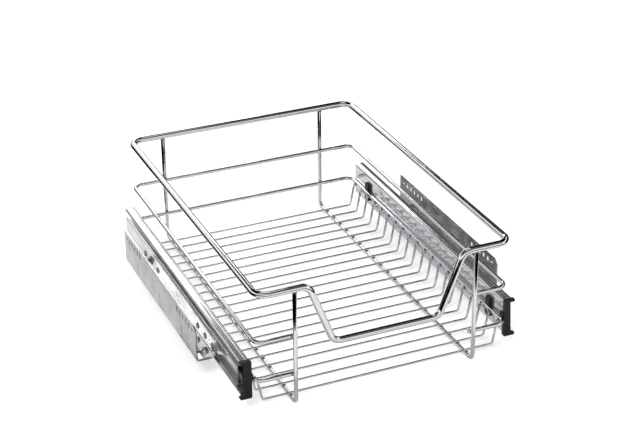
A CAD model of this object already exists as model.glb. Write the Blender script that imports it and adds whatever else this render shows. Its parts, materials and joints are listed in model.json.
"""Pull out cabinet basket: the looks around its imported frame, laid out as an add-on."""
import json
from math import acos, atan, atan2, cos, pi, radians, tan

import bmesh
import bpy
from bpy.props import FloatProperty, FloatVectorProperty, IntProperty, PointerProperty
from mathutils import Matrix, Vector

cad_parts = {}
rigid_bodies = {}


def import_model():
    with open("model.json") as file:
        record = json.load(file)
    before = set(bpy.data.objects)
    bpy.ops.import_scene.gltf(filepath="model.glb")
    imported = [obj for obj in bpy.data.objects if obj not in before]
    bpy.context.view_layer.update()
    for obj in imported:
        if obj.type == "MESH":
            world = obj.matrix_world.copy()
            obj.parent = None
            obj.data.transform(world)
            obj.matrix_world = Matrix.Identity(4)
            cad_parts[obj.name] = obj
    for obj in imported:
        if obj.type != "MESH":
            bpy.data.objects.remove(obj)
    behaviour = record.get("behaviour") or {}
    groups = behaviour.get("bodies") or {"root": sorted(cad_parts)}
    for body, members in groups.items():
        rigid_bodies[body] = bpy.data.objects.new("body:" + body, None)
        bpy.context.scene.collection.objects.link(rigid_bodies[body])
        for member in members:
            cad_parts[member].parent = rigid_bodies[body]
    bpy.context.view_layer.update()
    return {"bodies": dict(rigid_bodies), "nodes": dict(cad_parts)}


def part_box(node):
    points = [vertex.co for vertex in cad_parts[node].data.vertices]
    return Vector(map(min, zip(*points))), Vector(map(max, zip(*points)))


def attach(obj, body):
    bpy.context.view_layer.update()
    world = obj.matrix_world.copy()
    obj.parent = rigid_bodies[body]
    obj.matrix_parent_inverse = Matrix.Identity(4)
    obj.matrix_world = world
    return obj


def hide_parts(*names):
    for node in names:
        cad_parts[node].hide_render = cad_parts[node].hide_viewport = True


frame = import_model()

bl_info = {
    "name": "Pull out cabinet basket",
    "version": (1, 0, 0),
    "blender": (4, 5, 0),
    "location": "View3D > Sidebar > Basket",
    "description": "Builds the wires, slides, brackets and studio of a pull out cabinet basket",
    "category": "Object",
}

SIDES = ("left", "right")
UP = Vector((0, 0, 1))

# Edges that turn more than this are sharp, and are rounded on sheet and moulded parts
CREASE = radians(35)
# Faces that turn less than this count as one flat face
FLAT_TURN = radians(1)
# Corners closer than this are one corner, in metres
MERGE_DISTANCE = 2e-6
# Rings of a closed wire that meet within this share of its diameter are one ring
SEAM_SHARE = 0.005
# Rounding of a wire's cut end, as a share of its diameter
END_ROUNDING = 0.12
# Fewest steps round a bend
BEND_STEPS = 3

# Where most values of a noise lie
NOISE_LOW, NOISE_HIGH = 0.3, 0.7
# How far a metal's roughness strays below and above its own value
ROUGH_BELOW, ROUGH_ABOVE = 0.04, 0.06
# Stretch of the noise that gives drawing lines along the slide, or upright
LINES_ALONG, LINES_UPRIGHT = (1, 0.03, 1), (1, 1, 0.03)
# How much darker a weld is than its plating
WELD_SHADE = 0.3

# How far under the rim wire's line an upright ends, as a share of the rim wire
UPRIGHT_END = 0.4
# Shapes of the weld beads, as shares of their radius across, along and up
FLOOR_BEAD, LEG_BEAD = (1.0, 0.95, 0.42), (0.42, 0.95, 1.0)
LAP_BEAD, RIM_BEAD = (1.0, 0.45, 1.0), (1.0, 1.0, 0.45)
# How far a leg's bead sits under the side wire's line, and a lap bead's radius, in beads
LEG_BEAD_DROP, LAP_BEAD_SIZE = 0.3, 1.05
# Radius of a bead under the rim, as a share of the side wire
RIM_BEAD_SIZE = 0.62
# Half thickness of the rim's butt weld in metres, and its radius as a share of the rim wire
BUTT_HALF, BUTT_SIZE = 0.0012, 0.502

# Half width of the floor, in metres
FLOOR_REACH = 30.0
# Glow of the floor where it is seen, and share of the world's light that falls on things
FLOOR_GLOW, WORLD_LIGHT = 0.35, 0.55
# Segments of a studio card's full ring
RING_SEGMENTS = 64
# Width of the camera's sensor in millimetres, and its farthest sight in metres
SENSOR_WIDTH, SIGHT_END = 36.0, 100.0


def length_prop(name, description, default):
    """A length in metres, shown with the scene's unit."""
    return FloatProperty(name=name, description=description, default=default, min=0.0,
                         precision=5, unit="LENGTH")


def angle_prop(name, description, default):
    """An angle, kept in radians and shown in degrees."""
    return FloatProperty(name=name, description=description, default=default, unit="ROTATION")


def colour_prop(name, description, default):
    """A plain colour without alpha."""
    return FloatVectorProperty(name=name, description=description, default=default, size=3,
                               subtype="COLOR", min=0.0, max=1.0)


class BasketWireSizes(bpy.types.PropertyGroup):
    """Sizes of the bent wires that the frame's boxes don't tell."""
    rim_wire: length_prop("Rim wire", "Diameter of the rim wire", 0.008)
    side_wire: length_prop("Side wire", "Diameter of the side and upright wires", 0.005)
    cross_wire: length_prop("Cross wire", "Diameter of the floor's cross wires", 0.0028)
    rim_corner: length_prop("Rim corner", "Bend radius of the rim's corners", 0.015)
    side_corner: length_prop("Side corner", "Bend radius of the side wires' corners", 0.011)
    dip_top: length_prop("Dip top", "Width of the front dip at the rim", 0.184)
    dip_bottom: length_prop("Dip bottom", "Width of the front dip at its bottom", 0.127)
    dip_bend: length_prop("Dip bend", "Bend radius of the front dip", 0.014)
    upright_bend: length_prop("Upright bend", "Bend radius under the uprights", 0.008)
    cross_bend: length_prop("Cross bend", "Bend radius of the cross wires", 0.0035)
    leg_lean: length_prop("Leg lean", "How far a cross wire's leg leans outward", 0.006)
    wire_stub: length_prop("Wire stub", "How far a side wire ends past its upright", 0.002)
    weld_bead: length_prop("Weld bead", "Radius of a weld bead between thin wires", 0.0026)


class BasketMeshSizes(bpy.types.PropertyGroup):
    """How finely the new meshes are divided."""
    thick_sides: IntProperty(name="Thick sides", default=28, min=8,
                             description="Sides of the rim wire's round section")
    thin_sides: IntProperty(name="Thin sides", default=18, min=8,
                            description="Sides of a thin wire's round section")
    bend_step: angle_prop("Bend step", "Turn between two rings of a bend", radians(6))
    sheet_edge: length_prop("Sheet edge", "Rounding of the edges of rolled sheet", 0.00022)
    moulded_edge: length_prop("Moulded edge", "Rounding of the edges of plastic", 0.0003)


class BasketFinishes(bpy.types.PropertyGroup):
    """Colours of the finishes."""
    chrome: colour_prop("Chrome", "Plated wire", (0.80, 0.81, 0.83))
    zinc: colour_prop("Zinc", "Rolled and plated sheet steel", (0.74, 0.75, 0.76))
    bracket: colour_prop("Bracket", "Folded wall plates", (0.66, 0.67, 0.68))
    plated: colour_prop("Plated", "Brightly plated sheet", (0.87, 0.875, 0.88))
    dull: colour_prop("Dull steel", "Rivets and ball cages", (0.30, 0.30, 0.31))
    bright: colour_prop("Bright steel", "Screws, nuts and balls", (0.70, 0.70, 0.71))
    plastic: colour_prop("Plastic", "Moulded caps and clips", (0.008, 0.008, 0.009))


class BasketStudio(bpy.types.PropertyGroup):
    """Camera and floor."""
    camera_place: FloatVectorProperty(
        name="Camera place", description="Where the camera stands", size=3,
        subtype="TRANSLATION", unit="LENGTH", default=(-0.66502, -1.56920, 0.97299))
    azimuth: angle_prop("Azimuth", "Turn of the view from straight ahead", 0.40882)
    tilt: angle_prop("Tilt", "Tilt of the view, downward below zero", -0.47221)
    roll: angle_prop("Roll", "Turn of the picture", -0.00723)
    lens: FloatProperty(name="Lens", description="Focal length on a 36 mm wide sensor",
                        default=90.53, unit="CAMERA")
    floor: colour_prop("Floor", "Pale floor", (0.86, 0.86, 0.86))


def settings(context):
    """The four groups of settings, in the order wires, mesh, finishes, studio."""
    scene = context.scene
    return scene.basket_wires, scene.basket_mesh, scene.basket_finishes, scene.basket_studio


# Materials

def new_material(name):
    """A new material, its node tree and its shader."""
    material = bpy.data.materials.new(name)
    material.use_nodes = True
    return material, material.node_tree, material.node_tree.nodes["Principled BSDF"]


def object_noise(tree, scale, detail, stretch=(1, 1, 1)):
    """Noise on the object's own coordinates, stretched along its axes."""
    place = tree.nodes.new("ShaderNodeTexCoord")
    mapping = tree.nodes.new("ShaderNodeMapping")
    mapping.inputs["Scale"].default_value = stretch
    noise = tree.nodes.new("ShaderNodeTexNoise")
    noise.inputs["Scale"].default_value = scale
    noise.inputs["Detail"].default_value = detail
    tree.links.new(place.outputs["Object"], mapping.inputs["Vector"])
    tree.links.new(mapping.outputs["Vector"], noise.inputs["Vector"])
    return noise.outputs["Fac"]


def ranged(tree, source, low, high):
    """The noise's usual values spread over low to high."""
    spread = tree.nodes.new("ShaderNodeMapRange")
    spread.inputs["From Min"].default_value = NOISE_LOW
    spread.inputs["From Max"].default_value = NOISE_HIGH
    spread.inputs["To Min"].default_value = low
    spread.inputs["To Max"].default_value = high
    tree.links.new(source, spread.inputs["Value"])
    return spread.outputs["Result"]


def toned(tree, source, colour, dark, reach=0.15):
    """The colour, darkened to the given share where the source is low."""
    ramp = tree.nodes.new("ShaderNodeValToRGB")
    ramp.color_ramp.elements[0].position = 0.5 - reach
    ramp.color_ramp.elements[1].position = 0.5 + reach
    ramp.color_ramp.elements[0].color = [*(c * dark for c in colour), 1]
    ramp.color_ramp.elements[1].color = [*colour, 1]
    tree.links.new(source, ramp.inputs["Fac"])
    return ramp.outputs["Color"]


def bumped(tree, source, depth, strength):
    """A bump of the given depth in metres."""
    bump = tree.nodes.new("ShaderNodeBump")
    bump.inputs["Distance"].default_value = depth
    bump.inputs["Strength"].default_value = strength
    tree.links.new(source, bump.inputs["Height"])
    return bump.outputs["Normal"]


def chrome_plate(name, colour):
    """Bright plating over drawn wire, with the faint waviness of polished wire."""
    material, tree, shader = new_material(name)
    shader.inputs["Metallic"].default_value = 1.0
    cloud = object_noise(tree, scale=60.0, detail=3.0)
    tree.links.new(toned(tree, cloud, colour, dark=0.93), shader.inputs["Base Color"])
    tree.links.new(ranged(tree, cloud, low=0.05, high=0.11), shader.inputs["Roughness"])
    wave = object_noise(tree, scale=240.0, detail=2.0)
    tree.links.new(bumped(tree, wave, depth=0.0001, strength=0.06), shader.inputs["Normal"])
    return material


def weld_metal(name, colour):
    """Plating over a weld bead, duller and rippled."""
    material, tree, shader = new_material(name)
    shader.inputs["Metallic"].default_value = 1.0
    cloud = object_noise(tree, scale=500.0, detail=3.0)
    shade = [c * WELD_SHADE for c in colour]
    tree.links.new(toned(tree, cloud, shade, dark=0.5), shader.inputs["Base Color"])
    tree.links.new(ranged(tree, cloud, low=0.14, high=0.3), shader.inputs["Roughness"])
    tree.links.new(bumped(tree, cloud, depth=0.0003, strength=0.5), shader.inputs["Normal"])
    return material


def rolled_zinc(name, colour, rough, stretch, line_share, dark, ripple):
    """Rolled sheet with fine drawing lines along the stretched axis and cloudy plating."""
    material, tree, shader = new_material(name)
    shader.inputs["Metallic"].default_value = 0.9
    lines = object_noise(tree, scale=900.0, detail=2.0, stretch=stretch)
    cloud = object_noise(tree, scale=45.0, detail=2.0)
    mix = tree.nodes.new("ShaderNodeMix")
    mix.inputs["Factor"].default_value = line_share
    tree.links.new(cloud, mix.inputs["A"])
    tree.links.new(lines, mix.inputs["B"])
    both = mix.outputs["Result"]
    tree.links.new(toned(tree, both, colour, dark, reach=0.09), shader.inputs["Base Color"])
    tree.links.new(ranged(tree, both, rough - ROUGH_BELOW, rough + ROUGH_ABOVE),
                   shader.inputs["Roughness"])
    tree.links.new(bumped(tree, lines, depth=0.00002, strength=ripple), shader.inputs["Normal"])
    return material


def small_steel(name, colour, rough):
    """Turned or pressed small steel parts."""
    material, tree, shader = new_material(name)
    shader.inputs["Metallic"].default_value = 1.0
    grain = object_noise(tree, scale=700.0, detail=3.0)
    tree.links.new(toned(tree, grain, colour, dark=0.85), shader.inputs["Base Color"])
    tree.links.new(ranged(tree, grain, rough - ROUGH_BELOW, rough + ROUGH_ABOVE),
                   shader.inputs["Roughness"])
    tree.links.new(bumped(tree, grain, depth=0.00003, strength=0.2), shader.inputs["Normal"])
    return material


def moulded_black(name, colour):
    """Black moulded plastic with a fine spark eroded grain."""
    material, tree, shader = new_material(name)
    shader.inputs["Specular IOR Level"].default_value = 0.3
    grain = object_noise(tree, scale=1600.0, detail=2.0)
    cloud = object_noise(tree, scale=90.0, detail=2.0)
    tree.links.new(toned(tree, cloud, colour, dark=0.8), shader.inputs["Base Color"])
    tree.links.new(ranged(tree, grain, low=0.36, high=0.5), shader.inputs["Roughness"])
    tree.links.new(bumped(tree, grain, depth=0.00008, strength=0.35), shader.inputs["Normal"])
    return material


# Each finish: what makes it, the setting that holds its colour, and the maker's other values
FINISHES = {
    "Chrome_plate": (chrome_plate, "chrome", {}),
    "Weld_bead": (weld_metal, "chrome", {}),
    "Rolled_zinc": (rolled_zinc, "zinc", {
        "rough": 0.08, "stretch": LINES_ALONG, "line_share": 0.7, "dark": 0.88,
        "ripple": 0.03}),
    "Pressed_zinc": (rolled_zinc, "bracket", {
        "rough": 0.22, "stretch": LINES_UPRIGHT, "line_share": 0.08, "dark": 0.72,
        "ripple": 0.12}),
    "Plated_zinc": (rolled_zinc, "plated", {
        "rough": 0.12, "stretch": LINES_ALONG, "line_share": 0.3, "dark": 0.86,
        "ripple": 0.12}),
    "Fastener_steel": (small_steel, "bright", {"rough": 0.24}),
    "Dull_steel": (small_steel, "dull", {"rough": 0.26}),
    "Ball_metal": (small_steel, "bright", {"rough": 0.12}),
    "Moulded_black": (moulded_black, "plastic", {}),
}


def finish(context, name):
    """The named finish, made the first time it is asked for."""
    maker, colour, values = FINISHES[name]
    return (bpy.data.materials.get(name)
            or maker(name, getattr(context.scene.basket_finishes, colour), **values))


# Meshes

def new_object(name, shape, material):
    """Makes the shape an object of one material in the scene."""
    mesh = bpy.data.meshes.new(name)
    shape.to_mesh(mesh)
    shape.free()
    mesh.materials.append(material)
    thing = bpy.data.objects.new(name, mesh)
    bpy.context.scene.collection.objects.link(thing)
    return thing


def finished(name, shape, body, material, nodes=(), bevel=0.0):
    """Makes the shape an object that rides on a body and stands for the named CAD nodes."""
    piece = new_object(name, shape, material)
    if bevel:
        rounding = piece.modifiers.new("Edges", "BEVEL")
        rounding.width = bevel
        rounding.segments = 2
        rounding.limit_method = "ANGLE"
        rounding.angle_limit = CREASE
        rounding.harden_normals = True
    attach(piece, body)
    if nodes:
        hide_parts(*nodes)


def heading(corners, i):
    """Direction from corner i to the next one, round the list."""
    return (corners[(i + 1) % len(corners)] - corners[i]).normalized()


def turn_between(way_in, way_out):
    """Angle between two directions."""
    return acos(max(-1.0, min(1.0, way_in.dot(way_out))))


def turned_to(direction, place):
    """Matrix that puts a circle's centre at the place, facing along the direction."""
    return Matrix.Translation(place) @ direction.to_track_quat("Z", "Y").to_matrix().to_4x4()


def edges_round(elements):
    """Edges that belong to any of the given corners or faces, each once."""
    return list({e for element in elements
                 for e in (element.link_edges if isinstance(element, bmesh.types.BMVert)
                           else element.edges)})


def last_ring(made):
    """Edges of the last ring that a spin made."""
    return [e for e in made["geom_last"] if isinstance(e, bmesh.types.BMEdge)]


def run_straight(shape, ring, move):
    """Extrudes a ring of edges by a move and gives the new ring."""
    return last_ring(bmesh.ops.spin(
        shape, geom=ring, cent=(0, 0, 0), axis=UP, dvec=move, angle=0.0, steps=1,
        use_duplicate=False))


def run_bend(shape, ring, corner, way_in, way_out, radius, step):
    """Spins a ring round the bend at a corner and gives the new ring."""
    turn = turn_between(way_in, way_out)
    axis = way_in.cross(way_out).normalized()
    centre = corner - way_in * radius * tan(turn / 2) + axis.cross(way_in) * radius
    return last_ring(bmesh.ops.spin(
        shape, geom=ring, cent=centre, axis=axis, dvec=(0, 0, 0), angle=turn,
        steps=max(BEND_STEPS, round(turn / step)), use_duplicate=False))


def bent_wire(corners, radii, diameter, sides, step, closed=False):
    """Sweeps a round wire along its corners; a radius of zero is a plain end."""
    shape = bmesh.new()
    corners = [Vector(c) for c in corners]
    count = len(corners)

    def cut(i):
        """How much of a straight stretch the bend at corner i takes."""
        if not radii[i]:
            return 0.0
        return radii[i] * tan(turn_between(heading(corners, i - 1), heading(corners, i)) / 2)

    first = heading(corners, 0)
    start = corners[0] + first * cut(0)
    made = bmesh.ops.create_circle(shape, cap_ends=False, segments=sides, radius=diameter / 2,
                                   matrix=turned_to(first, start))
    opening = ring = edges_round(made["verts"])
    for i in range(count if closed else count - 1):
        k = (i + 1) % count
        way = heading(corners, i)
        length = (corners[k] - corners[i]).length - cut(i) - cut(k)
        ring = run_straight(shape, ring, way * length)
        if radii[k]:
            ring = run_bend(shape, ring, corners[k], way, heading(corners, k), radii[k], step)
    if closed:
        bmesh.ops.remove_doubles(shape, verts=shape.verts, dist=diameter * SEAM_SHARE)
    else:
        for end in (opening, ring):
            cap = bmesh.ops.edgeloop_fill(shape, edges=end)["faces"]
            bmesh.ops.bevel(shape, geom=edges_round(cap), offset=diameter * END_ROUNDING,
                            segments=2, profile=0.5, affect="EDGES", material=-1)
    bmesh.ops.recalc_face_normals(shape, faces=shape.faces)
    for face in shape.faces:
        face.smooth = True
    return shape


def sheet_copy(node):
    """The CAD node's solids as one clean mesh: doubles merged and flat faces joined up."""
    shape = bmesh.new()
    shape.from_mesh(frame["nodes"][node].data)
    bmesh.ops.remove_doubles(shape, verts=shape.verts, dist=MERGE_DISTANCE)
    bmesh.ops.dissolve_limit(shape, angle_limit=FLAT_TURN, verts=shape.verts,
                             edges=shape.edges, use_dissolve_boundaries=False)
    for face in shape.faces:
        face.smooth = True
    for edge in shape.edges:
        if len(edge.link_faces) == 2 and edge.calc_face_angle(0.0) > CREASE:
            edge.smooth = False
    return shape


def add_bead(shape, place, radius, squash):
    """Adds a weld bead at a place, its radius times a share along each axis."""
    bmesh.ops.create_uvsphere(shape, u_segments=10, v_segments=6, radius=radius,
                              matrix=Matrix.Translation(place) @ Matrix.Diagonal((*squash, 1)))


# Places of the wires, worked out from the frame

def wire_line(node, diameter):
    """Half width, half depth and height of the line of the rim or of a side wire."""
    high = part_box(node)[1]
    half = diameter / 2
    return high.x - half, high.y - half, high.z - half


def upright_line(sizes):
    """Place across and along of the uprights, and the height of their floor stretch."""
    low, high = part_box("upright_wire_right")
    half = sizes.side_wire / 2
    return (low.x + high.x) / 2, high.y - half, low.z + half


def cross_line(number, sizes):
    """Half width at the leg's top and foot, place along, and heights of the foot and the top."""
    low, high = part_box("cross_wire_%02d" % number)
    foot_z = low.z + sizes.cross_wire / 2
    top_z = wire_line("lower_wire", sizes.side_wire)[2]
    lean = atan(sizes.leg_lean / (top_z - foot_z))
    top_x = high.x - sizes.cross_wire / 2 * cos(lean)
    return top_x, top_x - sizes.leg_lean, (low.y + high.y) / 2, foot_z, top_z


def cross_numbers():
    """Numbers of the cross wires, from the front."""
    return sorted(int(n[-2:]) for n in frame["nodes"] if n.startswith("cross_wire_"))


# Pieces

def add_wire(context, name, node, shape):
    """Plates a bent wire and puts it in its CAD node's place on the basket."""
    finished(name, shape, "basket", finish(context, "Chrome_plate"), [node])


def dress(context, stem, body, look, bevel=0.0):
    """Replaces the stem's left and right nodes by copies with rounded edges."""
    for side in SIDES:
        node = "%s_%s" % (stem, side)
        rides = body if body in frame["bodies"] else "%s_%s" % (body, side)
        finished(node + "_skin", sheet_copy(node), rides, finish(context, look), [node],
                 bevel)


class BASKET_OT_rim_wire(bpy.types.Operator):
    """Bend the thick rim wire, with its dip at the front"""
    bl_idname = "basket.rim_wire"
    bl_label = "Rim wire"

    def execute(self, context):
        sizes, mesh, _, _ = settings(context)
        x, y, z = wire_line("rim_wire", sizes.rim_wire)
        dip_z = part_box("rim_wire")[0].z + sizes.rim_wire / 2
        top, low = sizes.dip_top / 2, sizes.dip_bottom / 2
        corners = [(x, -y, z), (x, y, z), (-x, y, z), (-x, -y, z),
                   (-top, -y, z), (-low, -y, dip_z), (low, -y, dip_z), (top, -y, z)]
        radii = [sizes.rim_corner] * 4 + [sizes.dip_bend] * 4
        add_wire(context, "rim", "rim_wire",
                 bent_wire(corners, radii, sizes.rim_wire, mesh.thick_sides, mesh.bend_step,
                           closed=True))
        return {"FINISHED"}


class BASKET_OT_side_wires(bpy.types.Operator):
    """Bend the middle and the lower side wire round three sides of the basket"""
    bl_idname = "basket.side_wires"
    bl_label = "Side wires"

    def execute(self, context):
        sizes, mesh, _, _ = settings(context)
        end = upright_line(sizes)[0] - sizes.side_wire / 2 - sizes.wire_stub
        for node in ("middle_wire", "lower_wire"):
            x, y, z = wire_line(node, sizes.side_wire)
            corners = [(-end, -y, z), (-x, -y, z), (-x, y, z), (x, y, z), (x, -y, z), (end, -y, z)]
            radii = [0] + [sizes.side_corner] * 4 + [0]
            add_wire(context, "side_" + node, node,
                     bent_wire(corners, radii, sizes.side_wire, mesh.thin_sides, mesh.bend_step))
        return {"FINISHED"}


class BASKET_OT_upright_wires(bpy.types.Operator):
    """Bend the two wires that run down the front, under the floor and up the back"""
    bl_idname = "basket.upright_wires"
    bl_label = "Upright wires"

    def execute(self, context):
        sizes, mesh, _, _ = settings(context)
        x, y, z = upright_line(sizes)
        top = wire_line("rim_wire", sizes.rim_wire)[2] - sizes.rim_wire * UPRIGHT_END
        for side, way in zip(SIDES, (-1, 1)):
            corners = [(way * x, -y, top), (way * x, -y, z), (way * x, y, z), (way * x, y, top)]
            radii = [0, sizes.upright_bend, sizes.upright_bend, 0]
            add_wire(context, "upright_" + side, "upright_wire_" + side,
                     bent_wire(corners, radii, sizes.side_wire, mesh.thin_sides, mesh.bend_step))
        return {"FINISHED"}


class BASKET_OT_cross_wires(bpy.types.Operator):
    """Bend the thin wires of the floor, whose legs rise to the lower side wire"""
    bl_idname = "basket.cross_wires"
    bl_label = "Cross wires"

    def execute(self, context):
        sizes, mesh, _, _ = settings(context)
        for number in cross_numbers():
            top_x, foot_x, y, foot_z, top_z = cross_line(number, sizes)
            corners = [(-top_x, y, top_z), (-foot_x, y, foot_z),
                       (foot_x, y, foot_z), (top_x, y, top_z)]
            radii = [0, sizes.cross_bend, sizes.cross_bend, 0]
            add_wire(context, "floor_wire_%02d" % number, "cross_wire_%02d" % number,
                     bent_wire(corners, radii, sizes.cross_wire, mesh.thin_sides,
                               mesh.bend_step * 2))
        return {"FINISHED"}


class BASKET_OT_weld_beads(bpy.types.Operator):
    """Add the small plated weld beads where the wires cross and lap, and the rim's butt weld"""
    bl_idname = "basket.weld_beads"
    bl_label = "Weld beads"

    def execute(self, context):
        sizes = settings(context)[0]
        shape = bmesh.new()
        bead = sizes.weld_bead
        upright_x, upright_y, floor_z = upright_line(sizes)
        _, rim_y, rim_z = wire_line("rim_wire", sizes.rim_wire)
        for way in (-1, 1):
            for number in cross_numbers():
                top_x, _, y, _, top_z = cross_line(number, sizes)
                add_bead(shape, (way * upright_x, y, floor_z + sizes.side_wire / 2), bead,
                         FLOOR_BEAD)
                place = (way * (top_x + sizes.cross_wire / 2), y, top_z - bead * LEG_BEAD_DROP)
                add_bead(shape, place, bead, LEG_BEAD)
            for node in ("middle_wire", "lower_wire"):
                z = wire_line(node, sizes.side_wire)[2]
                for end in (-1, 1):
                    place = (way * upright_x, end * (upright_y - sizes.side_wire / 2), z)
                    add_bead(shape, place, bead * LAP_BEAD_SIZE, LAP_BEAD)
            for end in (-1, 1):
                place = (way * upright_x, end * rim_y, rim_z - sizes.rim_wire / 2)
                add_bead(shape, place, sizes.side_wire * RIM_BEAD_SIZE, RIM_BEAD)
        butt_r = sizes.rim_wire * BUTT_SIZE
        bmesh.ops.create_uvsphere(shape, u_segments=24, v_segments=8, radius=1.0,
                                  matrix=Matrix.Translation((0, rim_y, rim_z))
                                  @ Matrix.Diagonal((BUTT_HALF, butt_r, butt_r, 1)))
        for face in shape.faces:
            face.smooth = True
        finished("weld_beads", shape, "basket", finish(context, "Weld_bead"))
        return {"FINISHED"}


class BASKET_OT_basket_rails(bpy.types.Operator):
    """Finish the wide rails that the basket hangs on"""
    bl_idname = "basket.basket_rails"
    bl_label = "Basket rails"

    def execute(self, context):
        edge = settings(context)[1].sheet_edge
        dress(context, "basket_rail", "basket", "Rolled_zinc", edge)
        return {"FINISHED"}


class BASKET_OT_inner_rails(bpy.types.Operator):
    """Finish the middle rails and the cabinet rails"""
    bl_idname = "basket.inner_rails"
    bl_label = "Inner rails"

    def execute(self, context):
        edge = settings(context)[1].sheet_edge
        dress(context, "middle_rail", "middle", "Plated_zinc", edge)
        dress(context, "cabinet_rail", "cabinet_side", "Plated_zinc", edge)
        return {"FINISHED"}


class BASKET_OT_ball_cages(bpy.types.Operator):
    """Finish the sheet cages and their balls"""
    bl_idname = "basket.ball_cages"
    bl_label = "Ball cages"

    def execute(self, context):
        for place in ("outer", "inner"):
            body = place + "_cage"
            dress(context, place + "_ball_cage", body, "Dull_steel")
            dress(context, place + "_balls", body, "Ball_metal")
        return {"FINISHED"}


class BASKET_OT_moulded_parts(bpy.types.Operator):
    """Finish the black end caps and wire clips"""
    bl_idname = "basket.moulded_parts"
    bl_label = "Caps and clips"

    def execute(self, context):
        edge = settings(context)[1].moulded_edge
        for stem in ("end_cap", "wire_clip_front", "wire_clip_back"):
            dress(context, stem, "basket", "Moulded_black", edge)
        return {"FINISHED"}


class BASKET_OT_brackets(bpy.types.Operator):
    """Finish the rail angles and the wall plates"""
    bl_idname = "basket.brackets"
    bl_label = "Brackets"

    def execute(self, context):
        edge = settings(context)[1].sheet_edge
        for stem, look in (("rail_angle", "Plated_zinc"), ("wall_plate", "Pressed_zinc")):
            dress(context, stem, "cabinet_side", look, edge)
        return {"FINISHED"}


class BASKET_OT_fasteners(bpy.types.Operator):
    """Finish the rivets, screws and nuts"""
    bl_idname = "basket.fasteners"
    bl_label = "Fasteners"

    def execute(self, context):
        edge = settings(context)[1].sheet_edge
        for stem, look in (("rail_rivets", "Dull_steel"), ("plate_screws", "Fastener_steel"),
                           ("plate_nuts", "Fastener_steel")):
            dress(context, stem, "cabinet_side", look, edge)
        return {"FINISHED"}


# Studio

def seen_directly(tree):
    """1 for what the camera, a gloss or a clear part sees, 0 for the light it gives."""
    path = tree.nodes.new("ShaderNodeLightPath")
    total = path.outputs["Is Camera Ray"]
    for ray in ("Is Glossy Ray", "Is Transmission Ray"):
        either = tree.nodes.new("ShaderNodeMath")
        either.operation = "MAXIMUM"
        tree.links.new(total, either.inputs[0])
        tree.links.new(path.outputs[ray], either.inputs[1])
        total = either.outputs[0]
    return total


def floor_paint(colour):
    """Pale floor that reads white and keeps the object's shadow."""
    material, tree, shader = new_material("Floor_paint")
    shader.inputs["Base Color"].default_value = (*colour, 1)
    shader.inputs["Roughness"].default_value = 0.9
    shader.inputs["Specular IOR Level"].default_value = 0.0
    shader.inputs["Emission Color"].default_value = (1, 1, 1, 1)
    lift = tree.nodes.new("ShaderNodeMath")
    lift.operation = "MULTIPLY"
    lift.inputs[1].default_value = FLOOR_GLOW
    tree.links.new(seen_directly(tree), lift.inputs[0])
    tree.links.new(lift.outputs[0], shader.inputs["Emission Strength"])
    return material


def card_paint(name, shade):
    """Matt card of one grey."""
    material, _, shader = new_material(name)
    shader.inputs["Base Color"].default_value = (shade, shade, shade, 1)
    shader.inputs["Specular IOR Level"].default_value = 0.0
    shader.inputs["Roughness"].default_value = 1.0
    return material


def card_ring(inner, outer, low, high, start=0, turn=360):
    """Sloping ring of card between two circles, or a turn of it from a start, in degrees."""
    shape = bmesh.new()
    made = bmesh.ops.create_circle(shape, cap_ends=False, segments=RING_SEGMENTS, radius=inner,
                                   matrix=Matrix.Translation((0, 0, low)))
    grown = bmesh.ops.extrude_edge_only(shape, edges=edges_round(made["verts"]))["geom"]
    verts = [v for v in grown if isinstance(v, bmesh.types.BMVert)]
    bmesh.ops.scale(shape, vec=(outer / inner, outer / inner, 1), verts=verts)
    bmesh.ops.translate(shape, vec=(0, 0, high - low), verts=verts)
    past = []
    for face in shape.faces:
        middle = face.calc_center_median()
        if (atan2(middle.y, middle.x) - radians(start)) % (2 * pi) > radians(turn):
            past.append(face)
    bmesh.ops.delete(shape, geom=past, context="FACES")
    return shape


def card_sheet(low, high, lift):
    """Flat card between two corners, at a height."""
    shape = bmesh.new()
    middle = [(a + b) / 2 for a, b in zip(low, high)]
    size = [(b - a) / 2 for a, b in zip(low, high)]
    bmesh.ops.create_grid(shape, x_segments=1, y_segments=1, size=1.0,
                          matrix=Matrix.Translation((*middle, lift))
                          @ Matrix.Diagonal((*size, 1, 1)))
    return shape


# Greys of the card paints
CARD_GREYS = {"Card_grey": 0.45, "Card_pale": 0.85, "Card_dark": 0.12, "Card_black": 0.0,
              "Card_deep": 0.05}

# Cards: name, paint, what makes its shape, and that maker's measures
CARDS = (
    ("table_card", "Card_grey", card_ring, (0.02, 0.40, 0.001, 0.001)),
    ("under_card", "Card_pale", card_sheet, ((-0.16, -0.2), (0.16, 0.36), 0.0015)),
    ("beside_card", "Card_pale", card_sheet, ((-0.24, -0.08), (-0.16, 0.36), 0.0015)),
    ("front_card", "Card_dark", card_sheet, ((-0.2, -0.2), (-0.16, -0.03), 0.002)),
    ("side_card", "Card_black", card_sheet, ((-0.6, -0.2), (-0.24, 0.6), 0.0015)),
    ("floor_card", "Card_black", card_ring, (0.40, 2.2, 0.001, 0.001)),
    ("near_card", "Card_pale", card_ring, (0.30, 0.54, 0.0015, 0.0015, 215, 145)),
    ("right_card", "Card_black", card_ring, (1.3, 1.31, 0.001, 0.7, -30, 65)),
    ("high_card", "Card_dark", card_ring, (1.5, 0.6, 0.9, 2.1, 190, 160)),
    ("far_card", "Card_black", card_ring, (1.5, 0.6, 1.13, 2.1, 350, 200)),
    ("left_card", "Card_black", card_ring, (1.3, 1.31, 0.001, 0.25, 100, 140)),
    ("back_card", "Card_deep", card_ring, (1.6, 1.5, 0.2, 1.13, 35, 33)),
)

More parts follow.
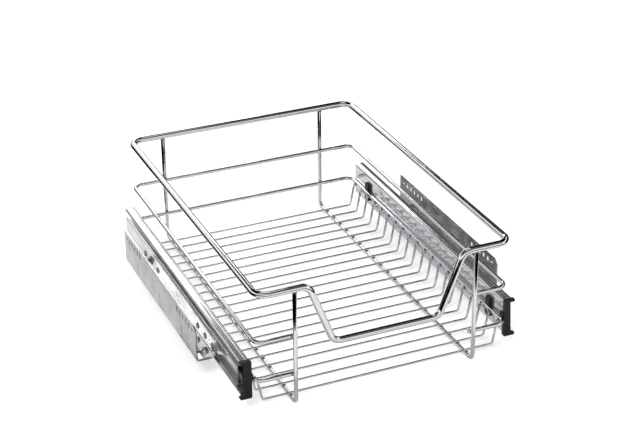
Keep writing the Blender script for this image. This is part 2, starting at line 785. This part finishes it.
# Square lamps that face the origin: name, place, size and power
LAMPS = (
    ("key_lamp", (-1.4, -1.2, 2.2), 1.2, 38),
    ("fill_lamp", (1.8, -0.6, 1.6), 1.4, 14),
    ("back_lamp", (0.3, 2.2, 1.8), 1.2, 16),
)


def studio_card(name, paint, shape):
    """Adds a studio card that only glossy rays see, for the dark lines that plating mirrors."""
    material = bpy.data.materials.get(paint) or card_paint(paint, CARD_GREYS[paint])
    card = new_object(name, shape, material)
    for ray in ("camera", "diffuse", "transmission", "volume_scatter", "shadow"):
        setattr(card, "visible_" + ray, False)


def soft_lamp(name, place, size, power):
    """Adds a square lamp that faces the origin."""
    light = bpy.data.lights.new(name, "AREA")
    light.size = size
    light.energy = power
    lamp = bpy.data.objects.new(name, light)
    bpy.context.scene.collection.objects.link(lamp)
    lamp.location = place
    lamp.rotation_euler = (-Vector(place)).to_track_quat("-Z", "Y").to_euler()


def studio_world():
    """Plain soft surroundings that read white to the camera, gloss and glass."""
    world = bpy.data.worlds.new("Studio")
    world.use_nodes = True
    tree = world.node_tree
    back = tree.nodes["Background"]
    direct = tree.nodes.new("ShaderNodeMix")
    direct.data_type = "FLOAT"
    direct.inputs[2].default_value = WORLD_LIGHT
    direct.inputs[3].default_value = 1.0
    tree.links.new(seen_directly(tree), direct.inputs["Factor"])
    tree.links.new(direct.outputs[0], back.inputs["Strength"])
    back.inputs["Color"].default_value = (1, 1, 1, 1)
    return world


class BASKET_OT_stage(bpy.types.Operator):
    """Set up the floor, the soft light and the camera at the photograph's place"""
    bl_idname = "basket.stage"
    bl_label = "Stage"

    def execute(self, context):
        studio = settings(context)[3]
        scene = context.scene
        ground = bmesh.new()
        bmesh.ops.create_grid(ground, x_segments=1, y_segments=1, size=FLOOR_REACH)
        new_object("floor", ground, floor_paint(studio.floor))
        scene.world = studio_world()
        for name, paint, maker, measures in CARDS:
            studio_card(name, paint, maker(*measures))
        for lamp in LAMPS:
            soft_lamp(*lamp)
        lens = bpy.data.cameras.new("camera")
        lens.lens = studio.lens
        lens.sensor_width = SENSOR_WIDTH
        lens.clip_end = SIGHT_END
        camera = bpy.data.objects.new("camera", lens)
        scene.collection.objects.link(camera)
        camera.matrix_world = (Matrix.Translation(studio.camera_place)
                               @ Matrix.Rotation(-studio.azimuth, 4, "Z")
                               @ Matrix.Rotation(pi / 2 + studio.tilt, 4, "X")
                               @ Matrix.Rotation(studio.roll, 4, "Z"))
        scene.camera = camera
        scene.view_settings.view_transform = "Standard"
        return {"FINISHED"}


OPERATORS = (
    BASKET_OT_rim_wire, BASKET_OT_side_wires, BASKET_OT_upright_wires, BASKET_OT_cross_wires,
    BASKET_OT_weld_beads, BASKET_OT_basket_rails, BASKET_OT_inner_rails, BASKET_OT_ball_cages,
    BASKET_OT_moulded_parts, BASKET_OT_brackets, BASKET_OT_fasteners, BASKET_OT_stage,
)


class BASKET_PT_builder(bpy.types.Panel):
    """Buttons and settings of the basket"""
    bl_idname = "BASKET_PT_builder"
    bl_label = "Pull out cabinet basket"
    bl_space_type = "VIEW_3D"
    bl_region_type = "UI"
    bl_category = "Basket"

    def draw(self, context):
        layout = self.layout
        for operator in OPERATORS:
            layout.operator(operator.bl_idname)
        for group in settings(context):
            box = layout.box()
            for name in group.bl_rna.properties.keys():
                if name not in ("rna_type", "name"):
                    box.prop(group, name)


GROUPS = {
    "basket_wires": BasketWireSizes,
    "basket_mesh": BasketMeshSizes,
    "basket_finishes": BasketFinishes,
    "basket_studio": BasketStudio,
}


def register():
    for group in GROUPS.values():
        bpy.utils.register_class(group)
    for name, group in GROUPS.items():
        setattr(bpy.types.Scene, name, PointerProperty(type=group))
    for operator in OPERATORS:
        bpy.utils.register_class(operator)
    bpy.utils.register_class(BASKET_PT_builder)


def unregister():
    bpy.utils.unregister_class(BASKET_PT_builder)
    for operator in reversed(OPERATORS):
        bpy.utils.unregister_class(operator)
    for name in GROUPS:
        delattr(bpy.types.Scene, name)
    for group in reversed(GROUPS.values()):
        bpy.utils.unregister_class(group)


def main():
    register()
    for operator in OPERATORS:
        module, name = operator.bl_idname.split(".")
        getattr(getattr(bpy.ops, module), name)()


if __name__ == "__main__":
    main()
